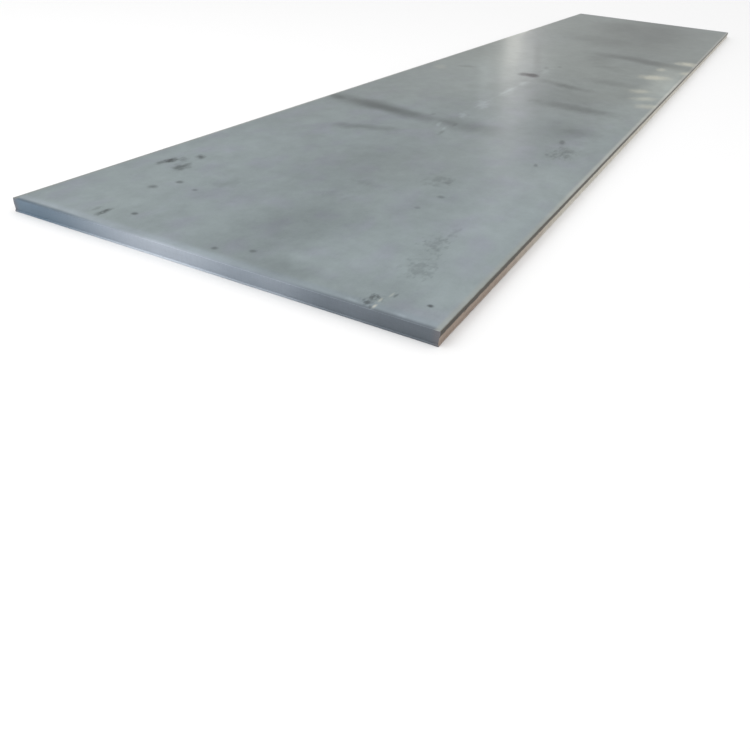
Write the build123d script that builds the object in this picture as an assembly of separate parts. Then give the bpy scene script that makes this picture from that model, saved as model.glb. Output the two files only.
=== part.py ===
from build123d import *

import os

# Thick hot-rolled steel plate, trimmed on a shear along all four sides.
#
# The plate is one solid and lies flat. X runs across its width, Y along its length and Z up
# through its thickness. The origin is the middle of the underside. All sizes are millimetres.
#
# What shapes the plate is the section of its cut edges. From the top face down, each one has
# a shoulder that the blade rolled over, a smooth land that the blade pushed along, a step
# where the steel broke away, a broken face that leans in, and a burr lip at the foot. The two
# long sides and the two ends were trimmed on different shears, so each pair has its own sizes.

# Plate
plate_width = 1250.0
plate_length = 6000.0
plate_thickness = 40.0
corner_bevel = 1.5

# Cut edges of the long sides
side_shoulder_width = 8.0
side_shoulder_drop = 3.0
side_land_height = 11.0
side_break_step = 0.9
side_face_lean = 1.1
side_lip_height = 3.5
side_foot_radius = 1.0

# Cut edges of the ends
end_shoulder_width = 28.0
end_shoulder_drop = 2.6
end_land_height = 12.0
end_break_step = 0.4
end_face_lean = 1.4
end_lip_height = 4.0
end_foot_radius = 0.8


def draw_cut_edge(
    reach, shoulder_width, shoulder_drop, land_height, break_step, face_lean, lip_height, foot_radius
):
    """Draw the line of one cut edge, from the top face down to the underside.

    reach is the distance from the plate's middle to the land and the lip, which are flush.
    """
    land_top = plate_thickness - shoulder_drop
    land_foot = land_top - land_height
    face_top = (reach - break_step, land_foot - break_step)
    lip_radius = break_step + face_lean
    face_foot = (reach - lip_radius, lip_height + lip_radius)
    straight_down = (0, -1)
    EllipticalCenterArc((reach - shoulder_width, land_top), shoulder_width, shoulder_drop)
    Line((reach, land_top), (reach, land_foot))
    Line((reach, land_foot), face_top)
    Line(face_top, face_foot)
    TangentArc(face_foot, (reach, lip_height), tangent=straight_down)
    Line((reach, lip_height), (reach, foot_radius))
    TangentArc((reach, foot_radius), (reach - foot_radius, 0), tangent=straight_down)


def draw_out_slab(plane, span, run, shoulder_width, foot_radius, **edge_sizes):
    """Return a slab with one pair of the plate's cut edges.

    Its section is drawn on the given plane, span wide over the two edges, and is drawn out
    square to that plane by run on each side of the middle.
    """
    reach = span / 2
    top_reach = reach - shoulder_width
    foot_reach = reach - foot_radius
    with BuildPart() as slab:
        with BuildSketch(plane.offset(-run)):
            with BuildLine():
                draw_cut_edge(reach, shoulder_width, foot_radius=foot_radius, **edge_sizes)
                mirror(about=Plane.YZ)
                Line((-top_reach, plate_thickness), (top_reach, plate_thickness))
                Line((-foot_reach, 0), (foot_reach, 0))
            make_face()
        extrude(amount=2 * run)
    return slab.part


def build_steel_plate():
    """Return the plate: what its two slabs and its outline with bevelled corners share.

    Each slab runs well past the plate, and the other one trims it.
    """
    with_side_edges = draw_out_slab(
        Plane.XZ,
        span=plate_width,
        run=plate_length,
        shoulder_width=side_shoulder_width,
        shoulder_drop=side_shoulder_drop,
        land_height=side_land_height,
        break_step=side_break_step,
        face_lean=side_face_lean,
        lip_height=side_lip_height,
        foot_radius=side_foot_radius,
    )
    with_end_edges = draw_out_slab(
        Plane.YZ,
        span=plate_length,
        run=plate_width,
        shoulder_width=end_shoulder_width,
        shoulder_drop=end_shoulder_drop,
        land_height=end_land_height,
        break_step=end_break_step,
        face_lean=end_face_lean,
        lip_height=end_lip_height,
        foot_radius=end_foot_radius,
    )
    outline = Rectangle(plate_width, plate_length)
    outline = chamfer(outline.vertices(), corner_bevel)
    with_corners = extrude(outline, amount=plate_thickness)
    return with_side_edges & with_end_edges & with_corners


os.makedirs("parts", exist_ok=True)
steel_plate = build_steel_plate()
steel_plate.label = "steel_plate"
export_step(steel_plate, "parts/steel_plate.step")
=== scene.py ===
"""Dress a thick hot-rolled steel plate for a studio picture.

The plate lies flat: X runs across it, Y along it and Z up through it, and the origin is the
middle of its underside. Lengths are metres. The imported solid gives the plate's box, and one
modelled piece stands for it: a skin of rolled faces and sheared edges with the unevenness
that rolling, shearing and handling leave.
"""

import logging
import math
from collections.abc import Callable, Iterator
from dataclasses import dataclass, field
from enum import Enum, IntEnum
from itertools import pairwise

import bmesh
import bpy
from mathutils import Color, Matrix, Vector


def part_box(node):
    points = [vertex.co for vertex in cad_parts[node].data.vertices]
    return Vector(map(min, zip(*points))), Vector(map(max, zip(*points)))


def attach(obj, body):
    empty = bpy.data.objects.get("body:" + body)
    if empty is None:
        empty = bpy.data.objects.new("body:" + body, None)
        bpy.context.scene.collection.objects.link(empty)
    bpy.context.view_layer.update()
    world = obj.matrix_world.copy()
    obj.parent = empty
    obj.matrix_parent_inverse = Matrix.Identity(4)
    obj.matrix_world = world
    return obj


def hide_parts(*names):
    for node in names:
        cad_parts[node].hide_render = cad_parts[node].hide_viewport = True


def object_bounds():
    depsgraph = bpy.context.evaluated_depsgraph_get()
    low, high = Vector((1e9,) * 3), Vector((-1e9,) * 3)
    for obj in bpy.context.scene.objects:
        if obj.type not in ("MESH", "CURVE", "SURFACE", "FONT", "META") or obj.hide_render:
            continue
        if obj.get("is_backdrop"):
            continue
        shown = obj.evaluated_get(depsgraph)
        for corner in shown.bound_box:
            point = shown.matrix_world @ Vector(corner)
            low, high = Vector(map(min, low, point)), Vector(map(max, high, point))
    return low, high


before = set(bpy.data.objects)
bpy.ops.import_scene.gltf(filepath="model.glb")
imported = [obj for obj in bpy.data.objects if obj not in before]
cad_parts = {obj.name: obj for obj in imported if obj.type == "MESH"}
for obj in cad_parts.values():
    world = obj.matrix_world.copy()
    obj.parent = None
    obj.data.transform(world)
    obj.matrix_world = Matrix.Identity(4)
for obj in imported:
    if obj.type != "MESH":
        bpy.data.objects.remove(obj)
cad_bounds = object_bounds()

log = logging.getLogger("steel_plate_scene")

Screen = tuple[int, int, int]
Span = tuple[float, float]
Triple = tuple[float, float, float]
Socket = bpy.types.NodeSocket
Value = float | tuple[float, ...] | Vector | Socket

MILLIMETRE = 0.001
MARK_FADE = 4.0  # how many times a mark's half sizes its ball of nearness spans
MARK_HEIGHT = 400.0  # how far that ball reaches along Z, so that a face's height doesn't matter
PAST_MARKS = 1000.0  # a height that no mark's ball reaches
CLOUD_START = (0.31, 0.17, 0)  # off the middle, so that no relief is the same on both sides


class Band(Enum):
    """The bands of the plate's skin. Each one has a material slot, in this order."""

    TOP = 0
    UNDERSIDE = 1
    SIDE_LAND = 2
    SIDE_BREAK = 3
    END_FACE = 4


class Push(Enum):
    """The way that a relief moves the skin."""

    INWARD = "NORMAL"
    HEIGHT = "Z"


class ScaleCloud(IntEnum):
    """What the mill scale's clouds are for. Each one's number is added to the face's seed."""

    TONE = 0
    WARMTH = 20
    VIOLET = 25
    GLOSS = 30
    RELIEF = 40
    RIM = 60


def clamp(share: float) -> float:
    """Return a share held between 0 and 1."""
    return min(max(share, 0), 1)


def share_between(height: float, foot: float, top: float, fades: Span) -> float:
    """Tell how much of something between two heights is left at a height.

    Args:
        height: The height.
        foot: The lower end, where nothing is left.
        top: The upper end, where nothing is left.
        fades: How far below the top and how far above the foot all of it is there.

    Returns:
        The share, from 0 to 1.
    """
    top_fade, foot_fade = fades
    return clamp(min((top - height) / top_fade, (height - foot) / foot_fade))


def linear(colour: Screen) -> tuple[float, ...]:
    """Turn a colour as a screen shows it into the renderer's own.

    Args:
        colour: Red, green and blue from 0 to 255.

    Returns:
        The linear colour, with full alpha.
    """
    return (*Color(level / 255 for level in colour).from_srgb_to_scene_linear(), 1.0)


def deselect_all() -> None:
    """Leave nothing selected, so that the next operator acts on what it makes."""
    bpy.ops.object.select_all(action="DESELECT")


def name_made(name: str) -> bpy.types.Object:
    """Name the object that the last operator made, and its data, and return it."""
    made = bpy.context.object
    made.name = name
    if made.data:
        made.data.name = name
    return made


class Nodes:
    """A node tree that is built a node at a time, each one from what it reads."""

    def __init__(self, tree: bpy.types.NodeTree) -> None:
        """Start from an empty tree.

        Args:
            tree: The node tree of a material or of the world.
        """
        self.tree = tree
        tree.nodes.clear()

    def add(
        self, kind: str, reads: dict[str | int, Value] | None = None, **options: object
    ) -> bpy.types.Node:
        """Add a node.

        Args:
            kind: The node's type, without the words that every shader node's type starts with.
            reads: For each input, the value that it holds or the output that it is joined to.
            options: The node's own settings.

        Returns:
            The node.
        """
        node = self.tree.nodes.new("ShaderNode" + kind)
        for option, setting in options.items():
            setattr(node, option, setting)
        for key, value in (reads or {}).items():
            if isinstance(value, Socket):
                self.tree.links.new(value, node.inputs[key])
            else:
                node.inputs[key].default_value = value
        return node

    def place(self) -> Socket:
        """Return the place on the piece, in metres."""
        return self.add("TexCoord").outputs["Object"]

    def along(self, place: Socket, axis: str) -> Socket:
        """Return one coordinate, X, Y or Z, of a place."""
        return self.add("SeparateXYZ", {0: place}).outputs[axis]

    def maths(self, operation: str, *terms: Value) -> Socket:
        """Return the result of a sum on numbers, such as ADD or MULTIPLY."""
        return self.add("Math", dict(enumerate(terms)), operation=operation).outputs[0]

    def scale(self, colour: Socket, tone: Value) -> Socket:
        """Return a colour made lighter or darker by a tone."""
        return self.add("VectorMath", {0: colour, "Scale": tone}, operation="SCALE").outputs[0]

    def step(
        self, value: Socket, start: float, end: float, low: float = 0, high: float = 1
    ) -> Socket:
        """Return a smooth step.

        Args:
            value: What is read.
            start: Where the step starts.
            end: Where it ends, which may be below the start.
            low: The result up to the start.
            high: The result from the end on.

        Returns:
            A number that goes smoothly from low to high.
        """
        reads = {"Value": value, "To Min": low, "To Max": high}
        if start > end:
            start, end = end, start
            reads |= {"To Min": high, "To Max": low}
        reads |= {"From Min": start, "From Max": end}
        return self.add(
            "MapRange", reads, interpolation_type="SMOOTHSTEP", clamp=False
        ).outputs[0]

    def blend(self, share: Value, first: Value, second: Value) -> Socket:
        """Return a colour between two, the second one where the share is 1."""
        reads = {"Factor": share, 6: first, 7: second}
        return self.add("Mix", reads, data_type="RGBA").outputs[2]

    def fade(self, share: Value, first: Screen, second: Screen) -> Socket:
        """Return a colour between two as a screen shows them, the second where the share is 1."""
        return self.blend(share, linear(first), linear(second))

    def noise(self, place: Socket, size: Triple, seed: float, detail: float = 2.0) -> Socket:
        """Return a cloudy number about 0.5.

        Args:
            place: Where the cloud is read.
            size: How large its lumps are along X, Y and Z.
            seed: Which cloud it is.
            detail: How many finer clouds are added to it.

        Returns:
            The number at the place.
        """
        steps = tuple(1 / length for length in size)
        spread = self.add("VectorMath", {0: place, 1: steps}, operation="MULTIPLY").outputs[0]
        reads = {"Vector": spread, "W": seed, "Scale": 1.0, "Detail": detail}
        return self.add("TexNoise", reads, noise_dimensions="4D").outputs["Fac"]


@dataclass(frozen=True)
class ToneLayer:
    """One layer of unevenness in how light a finish is."""

    size: Triple
    strength: float
    detail: float = 2.0


@dataclass(frozen=True)
class Mark:
    """A soft oval mark on a face. A negative strength darkens, and a positive one lightens.

    It is at full strength in its core, a share of its half sizes, and fades out to them. The
    larger its raggedness, the more a cloud with lumps of the given size breaks it up.
    """

    x: float
    y: float
    half_length: float
    half_width: float
    turn: float = 0.0
    strength: float = -0.1
    core: float = 0.2
    ragged: float = 0.5
    lump: float = 0.03


def spot(x: float, y: float, radius: float, strength: float = -0.25) -> Mark:
    """Return a small round mark."""
    return Mark(x, y, radius, radius, strength=strength, ragged=0.3, lump=0.012)


@dataclass(frozen=True)
class Rim:
    """A stretch near a face's border where its colour turns into another one.

    It starts and ends that far in from the outline, which lies at the given distance from the
    plate's middle, along the axis. Its share is how much of the other colour it ends with.
    """

    axis: str
    outline: float
    start: float
    end: float
    share: float
    colour: Callable[[Nodes, Socket], Value]


def layered_tone(
    nodes: Nodes, place: Socket, layers: tuple[ToneLayer, ...], seed: float
) -> Socket:
    """Add up layers of unevenness.

    Args:
        nodes: The tree that gets the nodes.
        place: Where the layers are read.
        layers: The layers.
        seed: Which clouds they are.

    Returns:
        A tone about 1.
    """
    tone = 1 - sum(layer.strength for layer in layers) / 2
    for number, layer in enumerate(layers):
        cloud = nodes.noise(place, layer.size, seed + number, layer.detail)
        tone = nodes.maths("MULTIPLY_ADD", cloud, layer.strength, tone)
    return tone


def marked_tone(nodes: Nodes, place: Socket, tone: Value, marks: tuple[Mark, ...]) -> Socket:
    """Put marks on a tone.

    Args:
        nodes: The tree that gets the nodes.
        place: Where the marks are read.
        tone: The tone without them.
        marks: The marks.

    Returns:
        The tone with them.
    """
    clouds: dict[float, Socket] = {}
    for mark in marks:
        if mark.lump not in clouds:
            grain = (mark.lump, 2 * mark.lump, mark.lump)
            cloud = nodes.noise(place, grain, mark.lump, detail=3)
            clouds[mark.lump] = nodes.maths("SUBTRACT", cloud, 0.5)
        reads = {
            "Vector": place,
            "Location": (mark.x, mark.y, 0),
            "Rotation": (0, 0, math.radians(mark.turn)),
            "Scale": (mark.half_length * MARK_FADE, mark.half_width * MARK_FADE, MARK_HEIGHT),
        }
        oval = nodes.add("Mapping", reads, vector_type="TEXTURE").outputs[0]
        near = nodes.add("TexGradient", {0: oval}, gradient_type="SPHERICAL").outputs["Fac"]
        near = nodes.maths("MULTIPLY_ADD", clouds[mark.lump], -2 * mark.ragged / MARK_FADE, near)
        rim, core = 1 - 1 / MARK_FADE, 1 - mark.core / MARK_FADE
        change = nodes.step(near, rim, core, 1, 1 + mark.strength)
        tone = nodes.maths("MULTIPLY", tone, change)
    return tone


@dataclass(frozen=True)
class Metal:
    """What every steel surface sets on its shader's own sockets."""

    metallic: float
    roughness: float
    edge_tint: float
    specular: float = 0.3

    def shade(
        self, nodes: Nodes, colour: Socket, roughness: Value, relief: Socket, depth: float
    ) -> None:
        """Add the shader and the output.

        Args:
            nodes: The tree that gets them.
            colour: The base colour.
            roughness: How rough the metal is from place to place.
            relief: The height of its fine relief, from 0 to 1.
            depth: How deep that relief is, in metres.
        """
        reads = {"Height": relief, "Distance": depth, "Strength": 1.0}
        bump = nodes.add("Bump", reads).outputs[0]
        edge_tint = (self.edge_tint, self.edge_tint, self.edge_tint, 1)
        reads = {
            "Base Color": colour,
            "Metallic": self.metallic,
            "Roughness": roughness,
            "Specular Tint": edge_tint,
            "Specular IOR Level": self.specular,
            "Normal": bump,
        }
        shader = nodes.add("BsdfPrincipled", reads).outputs[0]
        nodes.add("OutputMaterial", {"Surface": shader})


@dataclass(frozen=True)
class CutSteel:
    """The steel of one kind of cut face, and the fine unevenness of its tone and ground."""

    metal: Metal
    layers: tuple[ToneLayer, ...]
    tone_seed: float
    relief_grain: Triple
    relief_depth: float
    relief_seed: float
    relief_detail: float = 4.0

    def shade(self, nodes: Nodes, place: Socket, colour: Socket) -> None:
        """Make the steel uneven, and add its shader and the output.

        Args:
            nodes: The tree that gets the nodes.
            place: Where the unevenness is read.
            colour: The steel's colour without it.
        """
        tone = layered_tone(nodes, place, self.layers, self.tone_seed)
        relief = nodes.noise(place, self.relief_grain, self.relief_seed, self.relief_detail)
        colour = nodes.scale(colour, tone)
        self.metal.shade(nodes, colour, self.metal.roughness, relief, self.relief_depth)


def new_material(name: str) -> tuple[bpy.types.Material, Nodes]:
    """Return a new material and its empty node tree."""
    material = bpy.data.materials.new(name)
    material.use_nodes = True
    return material, Nodes(material.node_tree)


@dataclass(frozen=True)
class MillScale:
    """The oxide skin that hot rolling leaves on both faces."""

    cool: Screen = (152, 163, 165)
    warm: Screen = (150, 158, 155)
    violet: Screen = (152, 157, 168)
    violet_share: float = 0.6
    violet_grain: Triple = (0.1, 0.16, 1)
    violet_span: Span = (0.45, 0.7)
    cool_until: float = -2.4
    warm_from: float = 0.6
    warmth_grain: Triple = (0.5, 0.8, 1)
    warmth_drift: float = 0.8
    metal: Metal = Metal(metallic=0.75, roughness=0.32, edge_tint=0.5)
    layers: tuple[ToneLayer, ...] = (
        ToneLayer((0.8, 1.3, 1), 0.18),
        ToneLayer((0.2, 0.3, 1), 0.26, 3.0),
        ToneLayer((0.06, 0.08, 1), 0.36, 5.0),
        ToneLayer((0.02, 0.026, 1), 0.14),
        ToneLayer((0.006, 0.01, 1), 0.12),
    )
    pit_spacing: float = 0.14
    pit_radius: float = 0.035
    pit_core: float = 0.3
    pit_share: float = 0.35
    pit_strength: float = 0.16
    rim_grain: Triple = (0.02, 0.02, 1)
    rim_wander: float = 0.004
    # The pale colour of the painted glints and sheen, and of uncovered steel.
    glint_and_fleck_colour: Screen = (232, 230, 212)
    gloss_grain: Triple = (0.15, 0.3, 1)
    gloss_spread: float = 0.08
    relief_grain: Triple = (0.004, 0.006, 1)
    relief_depth: float = 0.08 * MILLIMETRE

    def scale_colour(self, nodes: Nodes, place: Socket, seed: float) -> Socket:
        """Find the scale's own colour, cool to warm along the plate, with violet patches.

        Args:
            nodes: The tree that gets the nodes.
            place: Where the colour is read.
            seed: Which clouds it has.

        Returns:
            The colour.
        """
        drift = nodes.noise(place, self.warmth_grain, seed + ScaleCloud.WARMTH)
        drift = nodes.maths("SUBTRACT", drift, 0.5)
        warmth = nodes.step(nodes.along(place, "Y"), self.cool_until, self.warm_from)
        warmth = nodes.maths("MULTIPLY_ADD", drift, self.warmth_drift, warmth)
        patch = nodes.noise(place, self.violet_grain, seed + ScaleCloud.VIOLET)
        patch = nodes.maths("MULTIPLY", nodes.step(patch, *self.violet_span), self.violet_share)
        cool = nodes.fade(patch, self.cool, self.violet)
        return nodes.blend(warmth, cool, linear(self.warm))

    def rimmed(self, nodes: Nodes, place: Socket, colour: Socket, rim: Rim, seed: float) -> Socket:
        """Turn a colour into a rim's own near the plate's outline.

        Args:
            nodes: The tree that gets the nodes.
            place: Where the colour is read.
            colour: The colour without the rim.
            rim: The rim.
            seed: Which cloud its border wanders with.

        Returns:
            The colour with the rim.
        """
        reach = nodes.maths("ABSOLUTE", nodes.along(place, rim.axis))
        wander = nodes.noise(place, self.rim_grain, seed + ScaleCloud.RIM, detail=3)
        reach = nodes.maths("MULTIPLY_ADD", wander, self.rim_wander, reach)
        outline = rim.outline + self.rim_wander / 2
        share = nodes.step(reach, outline - rim.start, outline - rim.end, 0, rim.share)
        return nodes.blend(share, colour, rim.colour(nodes, place))

    def pitted(self, nodes: Nodes, place: Socket, tone: Socket, seed: float) -> Socket:
        """Scatter small dark pits over a tone.

        Args:
            nodes: The tree that gets the nodes.
            place: Where the pits are read.
            tone: The tone without them.
            seed: Which scatter it is.

        Returns:
            The tone with them.
        """
        reads = {"Vector": place, "W": seed, "Scale": 1 / self.pit_spacing}
        cells = nodes.add("TexVoronoi", reads, voronoi_dimensions="4D")
        chance = nodes.add("SeparateColor", {0: cells.outputs["Color"]}).outputs[0]
        reach = nodes.maths("DIVIDE", cells.outputs["Distance"], self.pit_radius)
        inside = nodes.step(reach, 1, self.pit_core)
        there = nodes.maths("LESS_THAN", chance, self.pit_share)
        depth = nodes.maths("MULTIPLY", inside, there)
        change = nodes.maths("MULTIPLY_ADD", depth, -self.pit_strength, 1)
        return nodes.maths("MULTIPLY", tone, change)

    def make(
        self,
        name: str,
        seed: float,
        marks: tuple[Mark, ...] = (),
        glints_and_flecks: tuple[Mark, ...] = (),
        rims: tuple[Rim, ...] = (),
    ) -> bpy.types.Material:
        """Make the material of one face.

        Args:
            name: The material's name.
            seed: Which clouds it has.
            marks: The marks that handling left on the face.
            glints_and_flecks: The pale marks, painted glints and sheen and flecks of uncovered
                steel, each with minus the share of the face that it hides.
            rims: The stretches near its borders that look different.

        Returns:
            The material.
        """
        material, nodes = new_material(name)
        place = nodes.place()
        colour = self.scale_colour(nodes, place, seed)
        for rim in rims:
            colour = self.rimmed(nodes, place, colour, rim, seed)
        tone = layered_tone(nodes, place, self.layers, seed + ScaleCloud.TONE)
        tone = marked_tone(nodes, place, tone, marks)
        tone = self.pitted(nodes, place, tone, seed)
        colour = nodes.scale(colour, tone)
        # Painted glints and sheen, and flecks of uncovered steel, turn the colour pale.
        share_unpaled = marked_tone(nodes, place, 1.0, glints_and_flecks)
        colour = nodes.blend(nodes.maths("SUBTRACT", 1, share_unpaled), colour, linear(self.glint_and_fleck_colour))
        gloss = nodes.noise(place, self.gloss_grain, seed + ScaleCloud.GLOSS, detail=3)
        smoothest = self.metal.roughness - self.gloss_spread / 2
        roughness = nodes.maths("MULTIPLY_ADD", gloss, self.gloss_spread, smoothest)
        relief = nodes.noise(place, self.relief_grain, seed + ScaleCloud.RELIEF, detail=4)
        self.metal.shade(nodes, colour, roughness, relief, self.relief_depth)
        return material


@dataclass(frozen=True)
class PaintedRimLight:
    """Colours of the top face along the cut edges: painted highlight where the shoulders turn down,
    paler toward the far end along the sides, and darker where the side's arris starts near the near
    end.
    """

    end_left: Screen = (163, 173, 180)
    end_right: Screen = (147, 158, 165)
    end_span: Span = (-0.5, 0.3)
    side_near: Screen = (160, 165, 161)
    side_far: Screen = (190, 193, 187)
    near_arris: Screen = (124, 121, 113)
    far_arris: Screen = (162, 162, 155)
    side_span: Span = (-2.5, -1.6)

    def on_end(self, nodes: Nodes, place: Socket) -> Socket:
        """Return the colour along the ends."""
        share = nodes.step(nodes.along(place, "X"), *self.end_span)
        return nodes.fade(share, self.end_left, self.end_right)

    def on_side(self, nodes: Nodes, place: Socket) -> Socket:
        """Return the colour along the long sides."""
        share = nodes.step(nodes.along(place, "Y"), *self.side_span)
        return nodes.fade(share, self.side_near, self.side_far)

    def on_side_arris(self, nodes: Nodes, place: Socket) -> Socket:
        """Return the colour where the long sides' land starts."""
        share = nodes.step(nodes.along(place, "Y"), *self.side_span)
        return nodes.fade(share, self.near_arris, self.far_arris)


@dataclass(frozen=True)
class SideLand:
    """The smooth dark land that the blade pushed along the long sides."""

    half_length: float
    # Painted reflection: the land is painted paler toward the far end.
    near: Screen = (70, 67, 59)
    far: Screen = (112, 110, 104)
    steel: CutSteel = CutSteel(
        metal=Metal(metallic=0.4, roughness=0.5, edge_tint=0.8),
        layers=(
            ToneLayer((1, 0.004, 0.08), 0.25),
            ToneLayer((1, 0.05, 0.02), 0.3, 3.0),
            ToneLayer((1, 0.5, 1), 0.25),
        ),
        tone_seed=60.0,
        relief_grain=(1, 0.002, 0.03),
        relief_depth=0.1 * MILLIMETRE,
        relief_seed=70.0,
        relief_detail=2.0,
    )

    def colour(self, nodes: Nodes, place: Socket) -> Socket:
        """Return the land's colour, painted paler toward the far end as a painted reflection."""
        share = nodes.step(nodes.along(place, "Y"), -self.half_length, self.half_length)
        return nodes.fade(share, self.near, self.far)

    def make(self) -> bpy.types.Material:
        """Make the material."""
        material, nodes = new_material("side_land")
        place = nodes.place()
        self.steel.shade(nodes, place, self.colour(nodes, place))
        return material


@dataclass(frozen=True)
class BrokenFace:
    """The broken face of the long sides, lightly rusted, and the burr lip at its foot."""

    land: SideLand
    face_top: float
    lip_height: float
    # Painted reflection: the face and its lip are painted paler toward the far end.
    near: Screen = (160, 144, 131)
    far: Screen = (196, 192, 181)
    near_lip: Screen = (156, 142, 131)
    far_lip: Screen = (208, 204, 195)
    face_span: Span = (-2.75, -1.9)
    lip_span: Span = (-2.8, -2.0)
    lip_fade: float = 2.2
    rust: Screen = (152, 122, 104)
    rust_grain: Triple = (1, 0.06, 0.02)
    rust_span: Span = (0.5, 0.75)
    rust_share: float = 0.4
    rust_seed: float = 82.0
    # Painted shadow under the break step: the land's dark colour reaches this far down the broken
    # face, with a wandering edge.
    shadow_height: float = 0.006
    shadow_core: float = 0.3
    shadow_grain: Triple = (1, 0.011, 0.02)
    shadow_wander: float = 0.008
    shadow_seed: float = 86.0
    steel: CutSteel = CutSteel(
        metal=Metal(metallic=0.25, roughness=0.6, edge_tint=0.9),
        layers=(
            ToneLayer((1, 0.005, 0.007), 0.5, 3.0),
            ToneLayer((1, 0.03, 0.02), 0.3, 3.0),
            ToneLayer((1, 0.4, 1), 0.15),
        ),
        tone_seed=90.0,
        relief_grain=(1, 0.003, 0.005),
        relief_depth=0.5 * MILLIMETRE,
        relief_seed=100.0,
    )

    def colour(self, nodes: Nodes, place: Socket) -> Socket:
        """Find the steel's colour from place to place.

        Args:
            nodes: The tree that gets the nodes.
            place: Where the colour is read.

        Returns:
            The colour.
        """
        along, height = nodes.along(place, "Y"), nodes.along(place, "Z")
        # Paler toward the far end on the face and the lip: painted reflection.
        share = nodes.step(along, *self.face_span)
        colour = nodes.fade(share, self.near, self.far)
        rust = nodes.noise(place, self.rust_grain, self.rust_seed, detail=4)
        share = nodes.step(rust, *self.rust_span, 0, self.rust_share)
        colour = nodes.blend(share, colour, linear(self.rust))
        share = nodes.step(along, *self.lip_span)
        lip_colour = nodes.fade(share, self.near_lip, self.far_lip)
        on_lip = nodes.step(height, self.lip_fade * self.lip_height, self.lip_height)
        colour = nodes.blend(on_lip, colour, lip_colour)
        # Painted shadow under the break step, in the land's dark colour.
        cloud = nodes.noise(place, self.shadow_grain, self.shadow_seed, detail=3)
        wander = nodes.maths("SUBTRACT", cloud, 0.5)
        reach = nodes.maths("MULTIPLY_ADD", wander, self.shadow_wander, height)
        foot, top = self.face_top - self.shadow_height, self.face_top - self.shadow_core * self.shadow_height
        return nodes.blend(nodes.step(reach, foot, top), colour, self.land.colour(nodes, place))

    def make(self, marks: tuple[Mark, ...]) -> bpy.types.Material:
        """Make the material.

        Args:
            marks: The marks on the +X side, placed by their Y and Z.

        Returns:
            The material.
        """
        material, nodes = new_material("side_break")
        place = nodes.place()
        other_side = nodes.maths("LESS_THAN", nodes.along(place, "X"), 0)
        reads = {
            "X": nodes.along(place, "Y"),
            "Y": nodes.along(place, "Z"),
            "Z": nodes.maths("MULTIPLY", other_side, PAST_MARKS),
        }
        on_side = nodes.add("CombineXYZ", reads).outputs[0]
        tone = marked_tone(nodes, on_side, 1.0, marks)
        self.steel.shade(nodes, place, nodes.scale(self.colour(nodes, place), tone))
        return material


@dataclass(frozen=True)
class PaintedReflection:
    """A stretch of the ends painted pale, a painted reflection."""

    middle: float
    reach: float
    share: float


@dataclass(frozen=True)
class EndFace:
    """The cut face of the two ends: clean steel with pale stretches of painted reflection."""

    half_width: float
    lip_height: float
    left: Screen = (113, 130, 145)
    right: Screen = (104, 111, 118)
    # The painted reflection's colours, on the face and on its lip.
    reflection_colour: Screen = (174, 182, 192)
    reflection_colour_on_lip: Screen = (212, 220, 229)
    lip_gain: float = 0.18
    lip_fade: float = 2.0
    corner: Screen = (122, 117, 119)
    corner_width: float = 0.025
    corner_share: float = 0.6
    # Where the painted reflection lies across the ends.
    stretches: tuple[PaintedReflection, ...] = (
        PaintedReflection(-0.12, 0.42, 1.0),
        PaintedReflection(0.22, 0.16, 0.42),
        PaintedReflection(0.4, 0.12, 0.1),
    )
    steel: CutSteel = CutSteel(
        metal=Metal(metallic=0.7, roughness=0.4, edge_tint=0.7),
        layers=(
            ToneLayer((0.004, 1, 0.06), 0.12),
            ToneLayer((0.05, 1, 0.015), 0.14, 3.0),
            ToneLayer((0.3, 1, 1), 0.08),
        ),
        tone_seed=110.0,
        relief_grain=(0.003, 1, 0.01),
        relief_depth=0.3 * MILLIMETRE,
        relief_seed=120.0,
    )

    def colour(self, nodes: Nodes, place: Socket) -> Socket:
        """Find the steel's colour from place to place.

        Args:
            nodes: The tree that gets the nodes.
            place: Where the colour is read.

        Returns:
            The colour.
        """
        across, height = nodes.along(place, "X"), nodes.along(place, "Z")
        on_lip = nodes.step(height, self.lip_fade * self.lip_height, self.lip_height)
        share = nodes.step(across, -self.half_width, self.half_width)
        colour = nodes.fade(share, self.left, self.right)
        colour = nodes.scale(colour, nodes.maths("MULTIPLY_ADD", on_lip, self.lip_gain, 1))
        # Painted reflection: pale stretches across the ends, paler still on the lip.
        reflection_colour = nodes.fade(on_lip, self.reflection_colour, self.reflection_colour_on_lip)
        for stretch in self.stretches:
            off = nodes.maths("ABSOLUTE", nodes.maths("SUBTRACT", across, stretch.middle))
            share = nodes.step(off, stretch.reach, 0, 0, stretch.share)
            colour = nodes.blend(share, colour, reflection_colour)
        off = nodes.maths("ABSOLUTE", across)
        start = self.half_width - self.corner_width
        at_corner = nodes.step(off, start, self.half_width, 0, self.corner_share)
        return nodes.blend(at_corner, colour, linear(self.corner))

    def make(self) -> bpy.types.Material:
        """Make the material."""
        material, nodes = new_material("end_face")
        place = nodes.place()
        self.steel.shade(nodes, place, self.colour(nodes, place))
        return material


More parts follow.
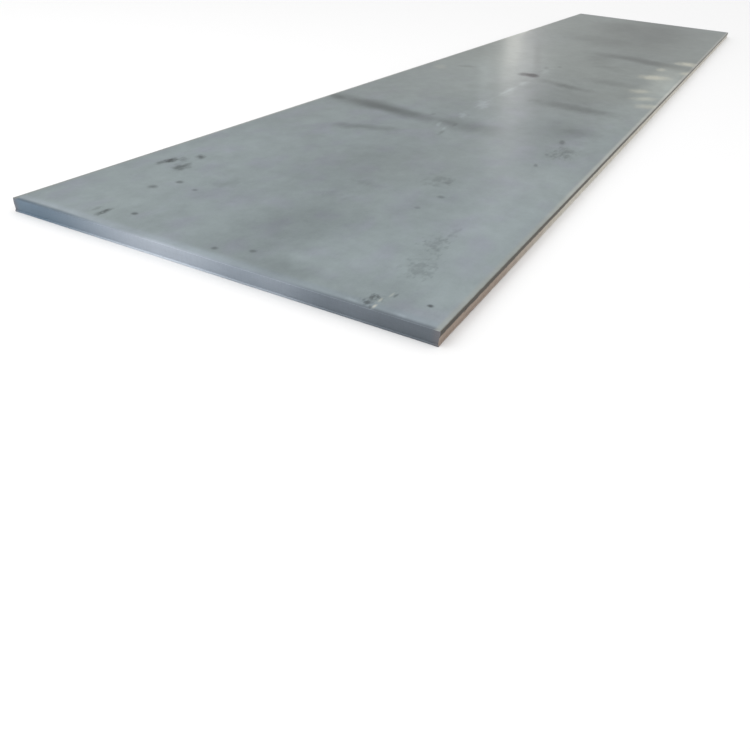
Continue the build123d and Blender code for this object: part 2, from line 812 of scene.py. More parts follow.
@dataclass(frozen=True)
class CutEdge:
    """The section of a sheared edge, from the rolled-over shoulder down to the burr lip."""

    shoulder_width: float
    shoulder_drop: float
    land_height: float
    break_step: float
    face_lean: float
    lip_height: float
    foot_radius: float

    def land_top(self, thickness: float) -> float:
        """Return the height where the shoulder ends and the land starts."""
        return thickness - self.shoulder_drop

    def land_foot(self, thickness: float) -> float:
        """Return the height where the land ends and the steel broke away."""
        return self.land_top(thickness) - self.land_height

    def corners(self, thickness: float) -> tuple[float, ...]:
        """Return the heights at which the section changes its course."""
        return (
            self.land_top(thickness),
            self.land_foot(thickness),
            self.land_foot(thickness) - self.break_step,
            self.lip_height + self.break_step + self.face_lean,
            self.lip_height,
            self.foot_radius,
        )

    def inset(self, height: float, thickness: float) -> float:
        """Find how far the section lies inside the plate's outline.

        Args:
            height: A height above the underside.
            thickness: The plate's thickness.

        Returns:
            The distance from the outline, inward.
        """
        land_top = self.land_top(thickness)
        face_top = self.land_foot(thickness) - self.break_step
        lip_radius = self.break_step + self.face_lean
        face_foot = self.lip_height + lip_radius
        if height >= land_top:
            rise = min((height - land_top) / self.shoulder_drop, 1)
            return self.shoulder_width * (1 - math.sqrt(1 - rise**2))
        if height >= face_top:
            return max(self.land_foot(thickness) - height, 0)
        if height >= face_foot:
            return self.break_step + self.face_lean * (face_top - height) / (face_top - face_foot)
        if height >= self.lip_height:
            return lip_radius - math.sqrt(lip_radius**2 - (height - self.lip_height) ** 2)
        if height >= self.foot_radius:
            return 0.0
        return self.foot_radius - math.sqrt(self.foot_radius**2 - (self.foot_radius - height) ** 2)


@dataclass(frozen=True)
class Relief:
    """Uneven ground that a cloud presses into a part of the skin.

    Its share is how much of it each place gets, from 0 to 1, and where the cloud has the rest
    value, nothing moves.
    """

    name: str
    depth: float
    grain: Triple
    share: Callable[[Vector], float]
    push: Push = Push.INWARD
    detail: int = 1
    rest: float = 1.0


@dataclass(frozen=True)
class Knock:
    """A small knock that handling left: where it hit, how it moved the steel, and how far round."""

    place: Triple
    push: Triple
    reach: float


@dataclass
class RolledPlate:
    """The whole plate: one skin of two rolled faces and four sheared edges."""

    name: str = "rolled_plate"
    node: str = "steel_plate"
    side_edge: CutEdge = CutEdge(
        shoulder_width=0.008,
        shoulder_drop=0.003,
        land_height=0.011,
        break_step=0.0009,
        face_lean=0.0011,
        lip_height=0.0035,
        foot_radius=0.001,
    )
    end_edge: CutEdge = CutEdge(
        shoulder_width=0.028,
        shoulder_drop=0.0026,
        land_height=0.012,
        break_step=0.0004,
        face_lean=0.0014,
        lip_height=0.004,
        foot_radius=0.0008,
    )
    corner_bevel: float = 0.0015
    margin: float = 0.06
    margin_rings: int = 4
    cells: tuple[int, int] = (18, 92)
    columns_per_cell: int = 10
    shoulder_rings: int = 6
    ring_gap: float = 0.0032
    ring_slack: float = 0.2
    ring_clear: float = 0.3 * MILLIMETRE
    merge_gap: float = 0.1 * MILLIMETRE
    edge_depth: float = 0.004
    corner_fade: float = 0.03
    corner_plain: float = 0.2
    break_fades: Span = (0.002, 0.003)
    end_foot: float = 0.001
    end_fades: Span = (0.008, 0.003)
    wander_fade: float = 0.007
    lip_top: float = 0.002
    lip_fade: float = 0.004
    crisp_angle: float = 30.0
    high: Vector = field(init=False)
    skin: bpy.types.Object = field(init=False)

    def __post_init__(self) -> None:
        """Take the plate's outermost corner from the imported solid, whose middle is the origin."""
        self.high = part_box(self.node)[1]

    @property
    def thickness(self) -> float:
        """The plate's thickness."""
        return self.high.z

    @property
    def flat(self) -> Span:
        """Half the width and half the length of the top face's flat part."""
        return (
            self.high.x - self.side_edge.shoulder_width,
            self.high.y - self.end_edge.shoulder_width,
        )

    def ring_heights(self) -> list[float]:
        """Return the heights of the rings that the cut edges are made of, from the top down."""
        side, end, top = self.side_edge, self.end_edge, self.thickness
        firm = sorted({*side.corners(top), *end.corners(top), 0.0}, reverse=True)
        turns = [math.pi / 2 * step / self.shoulder_rings for step in range(1, self.shoulder_rings)]
        soft = [side.land_top(top) + side.shoulder_drop * math.sin(turn) for turn in turns]
        soft += [side.lip_height + 0.5 * (side.break_step + side.face_lean), side.foot_radius / 3]
        for above, below in pairwise(firm):
            gaps = math.ceil((above - below) / self.ring_gap - self.ring_slack)
            soft += [below + (above - below) * step / gaps for step in range(1, gaps)]
        clear = [z for z in soft if all(abs(z - other) > self.ring_clear for other in firm)]
        return sorted({*firm, *clear}, reverse=True)

    def rings(self) -> Iterator[Triple]:
        """Yield half the width, half the length and the height of each ring of the skin."""
        grid = self.flat[0] - self.margin, self.flat[1] - self.margin
        for ring in range(self.margin_rings + 1):
            out = self.margin * ring / self.margin_rings
            yield grid[0] + out, grid[1] + out, self.thickness
        for height in self.ring_heights():
            side_inset = self.side_edge.inset(height, self.thickness)
            end_inset = self.end_edge.inset(height, self.thickness)
            yield self.high.x - side_inset, self.high.y - end_inset, height
        yield grid[0], grid[1], 0.0

    def build(self) -> None:
        """Model the skin, from the flat faces out to the finished edges."""
        self.lay_faces()
        self.draw_edges()
        self.cut_corners()
        self.split_bands()
        self.roughen()
        self.knock()
        self.smooth()

    def lay_faces(self) -> None:
        """Lay the grid inside the top face, and a copy of it, turned over, for the underside."""
        deselect_all()
        bpy.ops.mesh.primitive_grid_add(
            x_subdivisions=self.cells[0], y_subdivisions=self.cells[1], size=1
        )
        self.skin = name_made(self.name)
        half_x, half_y, height = next(self.rings())
        bpy.ops.object.mode_set(mode="EDIT")
        bpy.ops.mesh.select_all(action="SELECT")
        bpy.ops.transform.resize(value=(2 * half_x, 2 * half_y, 1))
        bpy.ops.mesh.region_to_loop()
        bpy.ops.mesh.subdivide(
            number_cuts=self.columns_per_cell - 1, ngon=True, quadcorner="STRAIGHT_CUT"
        )
        bpy.ops.mesh.select_all(action="SELECT")
        bpy.ops.mesh.duplicate_move()
        bpy.ops.mesh.flip_normals()
        bpy.ops.mesh.select_all(action="INVERT")
        bpy.ops.transform.translate(value=(0, 0, height))

    def draw_edges(self) -> None:
        """Draw the top grid's rim outward and down the cut edges, ring by ring."""
        bpy.ops.mesh.region_to_loop()
        for here, there in pairwise(self.rings()):
            drop = {"value": (0, 0, there[2] - here[2])}
            bpy.ops.mesh.extrude_edges_move(TRANSFORM_OT_translate=drop)
            spread = (there[0] / here[0], there[1] / here[1], 1)
            bpy.ops.transform.resize(value=spread, center_override=(0, 0, 0))
        bpy.ops.mesh.select_all(action="SELECT")
        bpy.ops.mesh.remove_doubles(threshold=self.merge_gap)

    def cut_corners(self) -> None:
        """Cut a small bevel on the four upright corners, and turn every face outward."""
        for side in (-1, 1):
            for end in (-1, 1):
                bpy.ops.mesh.select_all(action="SELECT")
                bpy.ops.mesh.bisect(
                    plane_co=(side * (self.high.x - self.corner_bevel), end * self.high.y, 0),
                    plane_no=(side, end, 0),
                    use_fill=True,
                    clear_outer=True,
                )
        bpy.ops.mesh.select_all(action="SELECT")
        bpy.ops.mesh.normals_make_consistent(inside=False)
        bpy.ops.object.mode_set(mode="OBJECT")

    def band_of(self, centre: Vector, normal: Vector) -> Band:
        """Tell which band a face of the skin belongs to.

        Args:
            centre: The middle of the face.
            normal: The way that it looks.

        Returns:
            The band.
        """
        sideways = 1.5  # how many times more a long side's face looks along X than along Y
        steep = 0.15  # the share of the side's shoulder that stands as steep as the land
        ground = 0.05 * MILLIMETRE
        on_side = abs(normal.x) > abs(normal.y) * sideways
        edge = self.side_edge if on_side else self.end_edge
        steep_foot = steep * edge.shoulder_drop if on_side else 0
        if centre.z > edge.land_top(self.thickness) + steep_foot:
            return Band.TOP
        if centre.z < ground:
            return Band.UNDERSIDE
        if not on_side:
            return Band.END_FACE
        face_top = edge.land_foot(self.thickness) - edge.break_step
        return Band.SIDE_LAND if centre.z > face_top else Band.SIDE_BREAK

    def split_bands(self) -> None:
        """Give each face of the skin the material slot of its band."""
        for _ in Band:
            bpy.ops.object.material_slot_add()
        for polygon in self.skin.data.polygons:
            polygon.material_index = self.band_of(polygon.center, polygon.normal).value

    def near_edge(self, inset: float, from_corner: float) -> float:
        """Tell how much of a cut edge's relief a place gets.

        Args:
            inset: How far inside the edge's outline the place lies.
            from_corner: How far along the edge it lies from the plate's corner.

        Returns:
            1 on the edge, 0 off it, and less near the corners.
        """
        if inset > self.edge_depth:
            return 0.0
        return clamp(from_corner / self.corner_fade - self.corner_plain)

    def near_side(self, place: Vector) -> float:
        """Return how near a place is to a long side's cut edge, from 0 to 1."""
        return self.near_edge(self.high.x - abs(place.x), self.high.y - abs(place.y))

    def near_end(self, place: Vector) -> float:
        """Return how near a place is to an end's cut edge, from 0 to 1."""
        return self.near_edge(self.high.y - abs(place.y), self.high.x - abs(place.x))

    def on_broken_side(self, place: Vector) -> float:
        """Return how much of the broken side's relief a place gets."""
        foot, top = self.side_edge.lip_height, self.side_edge.land_foot(self.thickness)
        return self.near_side(place) * share_between(place.z, foot, top, self.break_fades)

    def on_end(self, place: Vector) -> float:
        """Return how much of the end's relief a place gets."""
        top = self.end_edge.land_top(self.thickness)
        return self.near_end(place) * share_between(place.z, self.end_foot, top, self.end_fades)

    def on_break_line(self, place: Vector) -> float:
        """Return how much the line where the steel broke away wanders at a place."""
        edge, near = self.side_edge, self.near_side(place)
        if not near:
            edge, near = self.end_edge, self.near_end(place)
        off = abs(place.z - edge.land_foot(self.thickness) + edge.break_step / 2)
        return near * clamp(1 - max(off - edge.break_step / 2, 0) / self.wander_fade)

    def on_lip(self, place: Vector) -> float:
        """Return how much of the burr lip's relief a place gets."""
        near = max(self.near_side(place), self.near_end(place))
        return near * clamp(1 - (place.z - self.lip_top) / self.lip_fade) * (place.z > 0)

    def on_top(self, place: Vector) -> float:
        """Return how much of the top face's waves a place gets."""
        land_top = self.side_edge.land_top(self.thickness)
        return clamp((place.z - land_top) / (self.thickness - land_top))

    def select_skin(self) -> None:
        """Select the skin alone, for the next operator."""
        deselect_all()
        self.skin.select_set(True)
        bpy.context.view_layer.objects.active = self.skin

    def roughen(self) -> None:
        """Press the unevenness of rolling and shearing into the skin."""
        reliefs = (
            Relief("rolling_wave", 0.9 * MILLIMETRE, (0.5, 0.8, 1), self.on_top, Push.HEIGHT),
            Relief(
                "break_wander",
                3.2 * MILLIMETRE,
                (0.06, 0.06, 9),
                self.on_break_line,
                Push.HEIGHT,
                detail=3,
                rest=0.5,
            ),
            Relief("tear", 0.9 * MILLIMETRE, (0.018, 0.018, 0.03), self.on_broken_side, detail=2),
            Relief("dip", 0.8 * MILLIMETRE, (0.09, 0.09, 0.06), self.on_broken_side),
            Relief("chatter", 0.35 * MILLIMETRE, (0.02, 0.02, 0.06), self.on_end, detail=2),
            Relief("burr", 0.9 * MILLIMETRE, (0.025, 0.025, 0.2), self.on_lip, detail=2),
        )
        for relief in reliefs:
            self.press(relief)

    def press(self, relief: Relief) -> None:
        """Press one relief into the skin.

        Args:
            relief: The relief.
        """
        group = self.skin.vertex_groups.new(name=relief.name)
        for vertex in self.skin.data.vertices:
            share = relief.share(vertex.co)
            if share > 0:
                group.add([vertex.index], share, "REPLACE")
        deselect_all()
        bpy.ops.object.empty_add(location=CLOUD_START)
        guide = bpy.context.object
        guide.scale = relief.grain
        cloud = bpy.data.textures.new(relief.name, "CLOUDS")
        cloud.noise_scale = 1.0
        cloud.noise_depth = relief.detail
        self.select_skin()
        bpy.ops.object.modifier_add(type="DISPLACE")
        press = self.skin.modifiers[-1]
        press.texture = cloud
        press.texture_coords = "OBJECT"
        press.texture_coords_object = guide
        press.vertex_group = relief.name
        press.direction = relief.push.value
        press.mid_level = relief.rest
        press.strength = relief.depth
        bpy.ops.object.modifier_apply(modifier=press.name)
        bpy.ops.object.vertex_group_remove(all=True)
        bpy.data.objects.remove(guide)
        bpy.data.textures.remove(cloud)

    def knock(self) -> None:
        """Put the knocks of handling into the edges."""
        self.select_skin()
        bpy.ops.object.mode_set(mode="EDIT")
        for knock in KNOCKS:
            bpy.ops.mesh.select_all(action="DESELECT")
            mesh = bmesh.from_edit_mesh(self.skin.data)
            struck = min(mesh.verts, key=lambda vertex: (vertex.co - Vector(knock.place)).length)
            struck.select_set(True)
            bmesh.update_edit_mesh(self.skin.data)
            bpy.ops.transform.translate(
                value=knock.push,
                use_proportional_edit=True,
                proportional_edit_falloff="SMOOTH",
                proportional_size=knock.reach,
            )
        bpy.ops.object.mode_set(mode="OBJECT")

    def smooth(self) -> None:
        """Shade the skin smooth, and keep the corners of its section crisp."""
        self.select_skin()
        bpy.ops.object.shade_smooth_by_angle(angle=math.radians(self.crisp_angle))

    def dress(self) -> None:
        """Put the finishes on the bands of the skin."""
        scale, painted_rim_light, land = MillScale(), PaintedRimLight(), SideLand(self.high.y)
        end_face = EndFace(self.high.x, self.end_edge.lip_height)
        face_top = self.side_edge.land_foot(self.thickness) - self.side_edge.break_step
        broken = BrokenFace(land, face_top, self.side_edge.lip_height)
        # Rims of painted highlight along the cut edges; the near end's rim takes the end face's
        # colour, with its painted reflection.
        rims = (
            Rim("Y", self.high.y, start=0.044, end=0.02, share=0.75, colour=painted_rim_light.on_end),
            Rim("Y", self.high.y, start=0.014, end=0.002, share=0.85, colour=end_face.colour),
            Rim("X", self.high.x, start=0.018, end=0.006, share=0.8, colour=painted_rim_light.on_side),
            Rim("X", self.high.x, start=0.003, end=0, share=0.85, colour=painted_rim_light.on_side_arris),
        )
        finishes = {
            Band.TOP: scale.make(
                "mill_scale_top", seed=3.0, marks=TOP_MARKS, glints_and_flecks=GLINTS_AND_BARE_FLECKS, rims=rims
            ),
            Band.UNDERSIDE: scale.make("mill_scale_underside", seed=200.0),
            Band.SIDE_LAND: land.make(),
            Band.SIDE_BREAK: broken.make(SIDE_MARKS),
            Band.END_FACE: end_face.make(),
        }
        for band, material in finishes.items():
            self.skin.material_slots[band.value].material = material

    def fit(self) -> None:
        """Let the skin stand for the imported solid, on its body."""
        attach(self.skin, "root")
        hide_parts(self.node)


# The marks on the top face. Each one gives its place across and along the plate, half its
# length and width, how far it is turned, in degrees, and its strength, core, raggedness and lump.
#
# Broad shades: wide stretches painted darker or paler. The pale ones near the right side at Y 0.06
# and 0.3 are painted sheen, and the long thin pair turned near -70 degrees lies along the streak
# that the strip lamps mirror, painting it paler near and darker farther on: painted reflection.
BROAD_SHADES = (
    Mark(0.15, 2.3, 1.7, 0.5, 90, -0.36, 0.1, 0.3, 0.3),
    Mark(-0.03, -2.15, 0.6, 0.28, 90, -0.12, 0.1, 0.5, 0.3),
    Mark(0.08, -2.75, 0.45, 0.2, 75, -0.16, 0.2, 0.4, 0.3),
    Mark(0.42, -2.93, 0.28, 0.12, 3, -0.12, 0.2, 0.5, 0.1),
    Mark(0.22, -2.94, 0.16, 0.08, 3, -0.2, 0.1, 0.5, 0.1),
    Mark(0.0, -2.985, 0.2, 0.035, 0, 0.24, 0.1, 0.4, 0.1),
    Mark(-0.5, -2.998, 0.17, 0.014, 0, -0.24, 0.3, 0.4, 0.1),
    Mark(0.6, 0.3, 0.8, 0.05, 91, 0.16, 0.1, 0.4, 0.1),
    Mark(0.52, -2.0, 0.7, 0.2, 90, 0.16, 0.1, 0.4, 0.3),
    Mark(0.55, -0.9, 0.8, 0.2, 90, 0.14, 0.1, 0.4, 0.3),
    Mark(-0.3, 0.1, 1.6, 0.42, 90, 0.16, 0.1, 0.3, 0.3),
    Mark(0.2, -0.6, 0.26, 0.2, 90, -0.1, 0.2, 0.5, 0.3),
    Mark(0.38, -1.25, 0.3, 0.2, 75, -0.16, 0.0, 0.6, 0.1),
    Mark(-0.1, 1.5, 0.4, 0.22, -14, -0.12, 0.2, 0.5, 0.3),
    Mark(0.56, 0.06, 0.95, 0.13, 93, 0.34, 0.1, 0.4, 0.1),
    Mark(-0.22, 1.4, 0.17, 0.12, 87, -0.12, 0.3, 0.5, 0.1),
    Mark(-0.2, 2.4, 0.6, 0.25, 90, -0.14, 0.1, 0.4, 0.3),
    Mark(0.1, 0.72, 0.4, 0.13, 90, -0.2, 0.1, 0.4, 0.1),
    Mark(-0.45, -2.6, 0.9, 0.25, 90, 0.07, 0.1, 0.4, 0.3),
    Mark(-0.22, -0.5, 1.15, 0.06, -70, 0.14, 0.0, 0.3, 0.1),
    Mark(-0.21, 0.36, 0.93, 0.04, -73, -0.18, 0.0, 0.3, 0.1),
)
# Dark bands that run across the plate.
CROSS_BANDS = (
    Mark(-0.4, -1.38, 0.32, 0.12, -8, -0.45, 0.1, 0.25, 0.1),
    Mark(-0.32, -1.4, 0.22, 0.07, -10, -0.24, 0.1, 0.3, 0.06),
    Mark(-0.58, -1.365, 0.07, 0.045, -46, -0.3, 0.2, 0.3, 0.06),
    Mark(-0.17, -1.43, 0.13, 0.09, -12, -0.26, 0.1, 0.4, 0.06),
    Mark(-0.04, -1.43, 0.1, 0.05, -20, -0.2, 0.1, 0.5, 0.06),
    Mark(0.05, -1.43, 0.2, 0.15, -15, -0.28, 0.0, 0.4, 0.1),
    Mark(-0.25, -1.72, 0.17, 0.06, 27, -0.34, 0.1, 0.5, 0.06),
    Mark(0.15, -0.32, 0.22, 0.08, -18, -0.36, 0.1, 0.5, 0.06),
    Mark(0.34, -0.79, 0.3, 0.1, -5, -0.32, 0.1, 0.5, 0.06),
    Mark(0.45, -1.21, 0.13, 0.09, 18, -0.2, 0.0, 0.5, 0.06),
    Mark(0.32, 0.83, 0.46, 0.15, -14, -0.42, 0.1, 0.4, 0.1),
    Mark(0.31, -0.05, 0.18, 0.12, -6, -0.2, 0.1, 0.5, 0.06),
    Mark(0.19, 0.42, 0.09, 0.08, 73, -0.16, 0.1, 0.5, 0.06),
)
# Broken smudges of dirt.
SMUDGES = (
    Mark(0.234, -2.113, 0.085, 0.055, 83, -0.2, 0.0, 1.6, 0.02),
    Mark(0.263, -2.114, 0.045, 0.022, -77, -0.14, 0.1, 0.8, 0.02),
    Mark(0.436, -2.594, 0.07, 0.042, -85, -0.24, 0.0, 1.5, 0.012),
    Mark(0.445, -2.5, 0.06, 0.016, -88, -0.18, 0.0, 1.4, 0.012),
    Mark(0.466, -2.75, 0.08, 0.048, -77, -0.24, 0.0, 1.5, 0.012),
    Mark(0.03, -2.45, 0.08, 0.06, 0, -0.12, 0.0, 1.2, 0.02),
    Mark(0.06, -2.29, 0.055, 0.04, 0, -0.12, 0.0, 1.2, 0.02),
    Mark(0.474, -1.545, 0.11, 0.055, -90, -0.34, 0.0, 1.4, 0.016),
    Mark(-0.26, -2.55, 0.09, 0.05, 70, -0.1, 0.0, 1.2, 0.02),
)
# Small dark pits and scabs in the scale.
PITS = (
    Mark(-0.53, -2.524, 0.036, 0.021, 89, -0.5, 0.0, 0.7, 0.012),
    Mark(-0.525, -2.493, 0.036, 0.023, -76, -0.75, 0.0, 0.7, 0.012),
    Mark(-0.456, -2.53, 0.05, 0.035, -68, -0.55, 0.0, 0.7, 0.012),
    Mark(-0.455, -2.496, 0.04, 0.014, -72, -0.3, 0.0, 0.7, 0.012),
    Mark(-0.5, -2.463, 0.04, 0.024, -52, -0.34, 0.0, 0.9, 0.012),
    Mark(-0.476, -2.411, 0.034, 0.022, -60, -0.6, 0.0, 0.7, 0.012),
    Mark(-0.366, -2.95, 0.025, 0.014, -83, -0.4, 0.0, 0.9, 0.007),
    Mark(-0.366, -2.925, 0.028, 0.014, -81, -0.55, 0.0, 0.8, 0.007),
    Mark(-0.398, -2.921, 0.03, 0.012, -85, -0.25, 0.0, 0.9, 0.007),
    spot(-0.296, -2.895, 0.014, -0.5),
    spot(-0.4, -2.712, 0.02, -0.4),
    spot(-0.368, -2.636, 0.017, -0.45),
    spot(-0.291, -2.661, 0.013, -0.35),
    spot(0.005, -2.945, 0.013, -0.38),
    spot(0.088, -2.905, 0.014, -0.36),
    spot(0.303, -2.26, 0.018, -0.32),
    spot(0.284, -2.385, 0.015, -0.26),
    spot(0.563, -2.913, 0.011, -0.65),
    Mark(0.432, -1.397, 0.05, 0.016, -76, -0.38, 0.2, 0.5, 0.02),
    Mark(0.439, -1.754, 0.03, 0.012, -75, -0.4, 0.2, 0.5, 0.02),
    Mark(0.432, -1.6, 0.03, 0.012, -76, -0.25, 0.2, 0.5, 0.02),
    Mark(-0.068, -0.189, 0.08, 0.05, -74, -0.85, 0.3, 0.2, 0.04),
    Mark(-0.114, -0.198, 0.075, 0.04, -83, -0.65, 0.2, 0.2, 0.04),
    Mark(-0.423, -0.234, 0.09, 0.05, 42, -0.24, 0.1, 0.4, 0.04),
)
# The scrape at the near end, with rubbed scale on both sides of it.
SCRAPES = (
    Mark(0.445, -2.962, 0.034, 0.026, -88, -0.24, 0.0, 1.6, 0.007),
    Mark(0.439, -2.979, 0.018, 0.01, -64, -0.4, 0.0, 1.2, 0.007),
    Mark(0.442, -2.948, 0.02, 0.01, -75, -0.4, 0.0, 1.2, 0.007),
    Mark(0.452, -2.944, 0.013, 0.007, -64, -0.36, 0.1, 0.8, 0.007),
    Mark(0.456, -2.99, 0.01, 0.006, -66, -0.3, 0.3, 0.5, 0.007),
    Mark(0.479, -2.913, 0.02, 0.005, 86, -0.35, 0.1, 0.7, 0.007),
    Mark(0.409, -2.986, 0.03, 0.013, -5, 0.2, 0.0, 0.9, 0.012),
    Mark(0.528, -2.987, 0.024, 0.01, -4, 0.14, 0.0, 0.9, 0.012),
)
# A faint line of worn chalk along the middle, with dark and pale smears.
CHALK = (
    Mark(-0.04, -0.7, 0.9, 0.014, 90, 0.1, 0.0, 0.8, 0.04),
    Mark(0.012, -1.593, 0.05, 0.012, -82, -0.28, 0.0, 0.9, 0.02),
    Mark(0.008, -1.465, 0.046, 0.016, -85, -0.28, 0.0, 0.9, 0.02),
    Mark(-0.131, -1.351, 0.04, 0.014, -84, -0.22, 0.0, 0.9, 0.02),
    Mark(-0.046, -1.482, 0.061, 0.012, -78, 0.3, 0.0, 0.9, 0.02),
    Mark(-0.006, -1.524, 0.047, 0.01, -79, 0.28, 0.0, 0.9, 0.02),
    Mark(-0.022, -1.292, 0.065, 0.022, -76, 0.26, 0.0, 1.2, 0.02),
    Mark(-0.035, -1.023, 0.13, 0.045, -78, 0.24, 0.0, 1.5, 0.02),
    Mark(-0.036, -0.676, 0.17, 0.034, -87, 0.3, 0.0, 0.9, 0.04),
    Mark(-0.039, -0.427, 0.1, 0.03, -86, 0.22, 0.0, 0.9, 0.04),
    Mark(-0.037, -0.051, 0.2, 0.036, -84, 0.18, 0.0, 1.2, 0.04),
    Mark(-0.074, 0.085, 0.06, 0.022, -77, -0.3, 0.0, 0.8, 0.02),
    Mark(-0.022, 0.183, 0.05, 0.02, -79, -0.26, 0.0, 0.8, 0.02),
)
# Painted glints and sheen beside the right side, a pale patch near the left side, and flecks of
# uncovered steel in the scrape.
GLINTS_AND_BARE_FLECKS = (
    Mark(0.472, 0.616, 0.1, 0.04, -84, -0.45, 0.0, 0.4, 0.04),
    Mark(0.481, 0.314, 0.14, 0.1, 53, -0.7, 0.0, 0.4, 0.04),
    Mark(0.574, 0.96, 0.13, 0.1, 79, -0.75, 0.0, 0.4, 0.04),
    Mark(0.608, 0.606, 0.11, 0.045, 87, -0.5, 0.0, 0.4, 0.04),
    Mark(0.487, -0.146, 0.1, 0.07, 64, -0.45, 0.0, 0.4, 0.04),
    Mark(0.544, -0.316, 0.12, 0.06, 49, -0.4, 0.0, 0.4, 0.04),
    Mark(0.587, -0.487, 0.11, 0.07, 54, -0.45, 0.0, 0.4, 0.04),
    Mark(0.54, 0.3, 0.8, 0.14, 92, -0.16, 0.0, 0.4, 0.1),
    Mark(-0.527, -0.36, 0.1, 0.06, -68, -0.16, 0.0, 0.4, 0.04),
    Mark(0.46, -2.954, 0.018, 0.005, -86, -0.34, 0.0, 0.7, 0.007),
    Mark(0.463, -2.984, 0.018, 0.006, 89, -0.45, 0.0, 0.8, 0.007),
    Mark(0.47, -2.915, 0.017, 0.004, 87, -0.2, 0.0, 0.7, 0.007),
)
TOP_MARKS = BROAD_SHADES + CROSS_BANDS + SMUDGES + PITS + SCRAPES + CHALK
# Dark nicks on the right side, placed by their Y and Z.
SIDE_MARKS = (
    Mark(-2.855, 0.023, 0.009, 0.0045, 90, -0.6, 0.3, 0.4, 0.007),
    Mark(-2.31, 0.022, 0.008, 0.004, 90, -0.4, 0.3, 0.4, 0.007),
)
# The knocks behind those nicks, and two beside the scrape.
KNOCKS = (
    Knock((0.625, -2.855, 0.026), (-0.0018, 0, 0), 0.009),
    Knock((0.625, -2.31, 0.024), (-0.0012, 0, 0), 0.009),
    Knock((0.448, -2.996, 0.038), (0, 0.0012, -0.0004), 0.008),
    Knock((0.464, -2.998, 0.037), (0, 0.001, -0.0004), 0.007),
)


@dataclass(frozen=True)
class PlateCamera:
    """The camera: where it stands, and how far it is turned, in degrees."""

    place: Triple = (1.0629, -4.2132, 0.7643)
    heading: float = 25.474
    tilt_down: float = 33.355
    roll: float = 4.559
    lens: float = 34.554
    far_clip: float = 500.0

    def set_up(self) -> None:
        """Make the camera, the scene's own."""
        deselect_all()
        bpy.ops.object.camera_add()
        camera = name_made("plate_camera")
        camera.data.lens = self.lens
        camera.data.clip_end = self.far_clip
        turn = (
            Matrix.Rotation(math.radians(self.heading), 4, "Z")
            @ Matrix.Rotation(math.radians(90 - self.tilt_down), 4, "X")
            @ Matrix.Rotation(math.radians(self.roll), 4, "Z")
        )
        camera.matrix_world = Matrix.Translation(self.place) @ turn
        bpy.context.scene.camera = camera


@dataclass(frozen=True)
class Strip:
    """A narrow upright lamp beyond the plate's far end, which the top face mirrors as a streak."""

    name: str
    heading: float
    height: float
    size: Span
    watts: float
    colour: Screen = (255, 250, 240)
    distance: float = 12.0

    def hang(self, camera: PlateCamera) -> None:
        """Hang the lamp.

        Args:
            camera: The camera, which the lamp faces.
        """
        way = math.radians(self.heading)
        foot = Vector(camera.place) + self.distance * Vector((-math.sin(way), math.cos(way), 0))
        deselect_all()
        bpy.ops.object.light_add(type="AREA", location=(foot.x, foot.y, self.height))
        strip = name_made(self.name)
        strip.data.shape = "RECTANGLE"
        strip.data.size, strip.data.size_y = self.size
        strip.data.energy = self.watts
        strip.data.color = linear(self.colour)[:3]
        strip.rotation_euler = (math.radians(90), 0, way + math.pi)
        strip.visible_camera = False


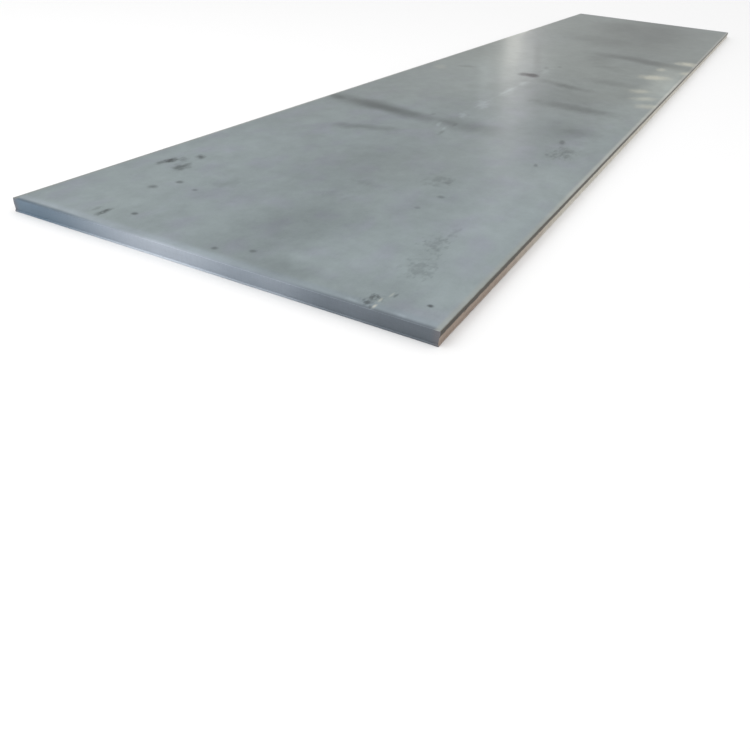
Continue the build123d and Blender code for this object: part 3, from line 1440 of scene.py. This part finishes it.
@dataclass(frozen=True)
class Studio:
    """A pale floor under a pale, even sky, with soft lamps."""

    floor_size: float = 400.0
    floor_colour: Screen = (247, 247, 247)
    floor_roughness: float = 0.9
    floor_specular: float = 0.1
    sky_low: float = 0.8
    sky_high: float = 1.0
    sky_rise: float = 0.6
    key_place: Triple = (-1.5, -4.5, 4.5)
    key_aim: Triple = (0, -1.5, 0)
    key_size: float = 4.0
    key_watts: float = 60.0
    strips: tuple[Strip, ...] = (
        Strip("low_strip", 17.4, 0.82, (0.17, 0.4), 1.95),
        Strip("high_strip", 16.45, 2.1, (0.22, 1.1), 2.6, (255, 240, 250)),
    )

    def set_up(self, camera: PlateCamera) -> None:
        """Lay the floor and hang the lights.

        Args:
            camera: The camera, which the strips face.
        """
        self.lay_floor()
        self.light_sky()
        self.hang_key()
        for strip in self.strips:
            strip.hang(camera)

    def lay_floor(self) -> None:
        """Lay the floor, which isn't part of the object."""
        deselect_all()
        bpy.ops.mesh.primitive_plane_add(size=self.floor_size)
        floor = name_made("studio_floor")
        material, nodes = new_material("studio_floor")
        reads = {
            "Base Color": linear(self.floor_colour),
            "Roughness": self.floor_roughness,
            "Specular IOR Level": self.floor_specular,
        }
        shader = nodes.add("BsdfPrincipled", reads).outputs[0]
        nodes.add("OutputMaterial", {"Surface": shader})
        floor.data.materials.append(material)
        floor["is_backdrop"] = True

    def light_sky(self) -> None:
        """Light the whole scene evenly, a little more from above."""
        sky = bpy.data.worlds.new("studio_sky")
        sky.use_nodes = True
        bpy.context.scene.world = sky
        nodes = Nodes(sky.node_tree)
        heading = nodes.add("TexCoord").outputs["Generated"]
        height = nodes.along(heading, "Z")
        rise = nodes.step(height, 0, self.sky_rise, self.sky_low, self.sky_high)
        shader = nodes.add("Background", {"Color": (1, 1, 1, 1), "Strength": rise}).outputs[0]
        nodes.add("OutputWorld", {"Surface": shader})

    def hang_key(self) -> None:
        """Hang a broad soft lamp over the plate's near end."""
        deselect_all()
        bpy.ops.object.light_add(type="AREA", location=self.key_place)
        key = name_made("key_lamp")
        key.data.size = self.key_size
        key.data.energy = self.key_watts
        way = Vector(self.key_aim) - key.location
        key.rotation_euler = way.to_track_quat("-Z", "Y").to_euler()
        key.visible_camera = False


def write_sizes() -> None:
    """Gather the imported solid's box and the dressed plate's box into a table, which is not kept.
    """
    boxes = {"cad": cad_bounds, "visual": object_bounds()}
    {name: [list(corner) for corner in box] for name, box in boxes.items()}


def main() -> None:
    """Set up the camera and the studio, then build and dress the plate."""
    logging.basicConfig(level=logging.INFO, format="%(message)s")
    bpy.context.scene.view_settings.view_transform = "Standard"
    camera = PlateCamera()
    camera.set_up()
    Studio().set_up(camera)
    plate = RolledPlate()
    plate.build()
    plate.dress()
    plate.fit()
    log.info("%s: %d faces", plate.name, len(plate.skin.data.polygons))
    write_sizes()


if __name__ == "__main__":
    main()
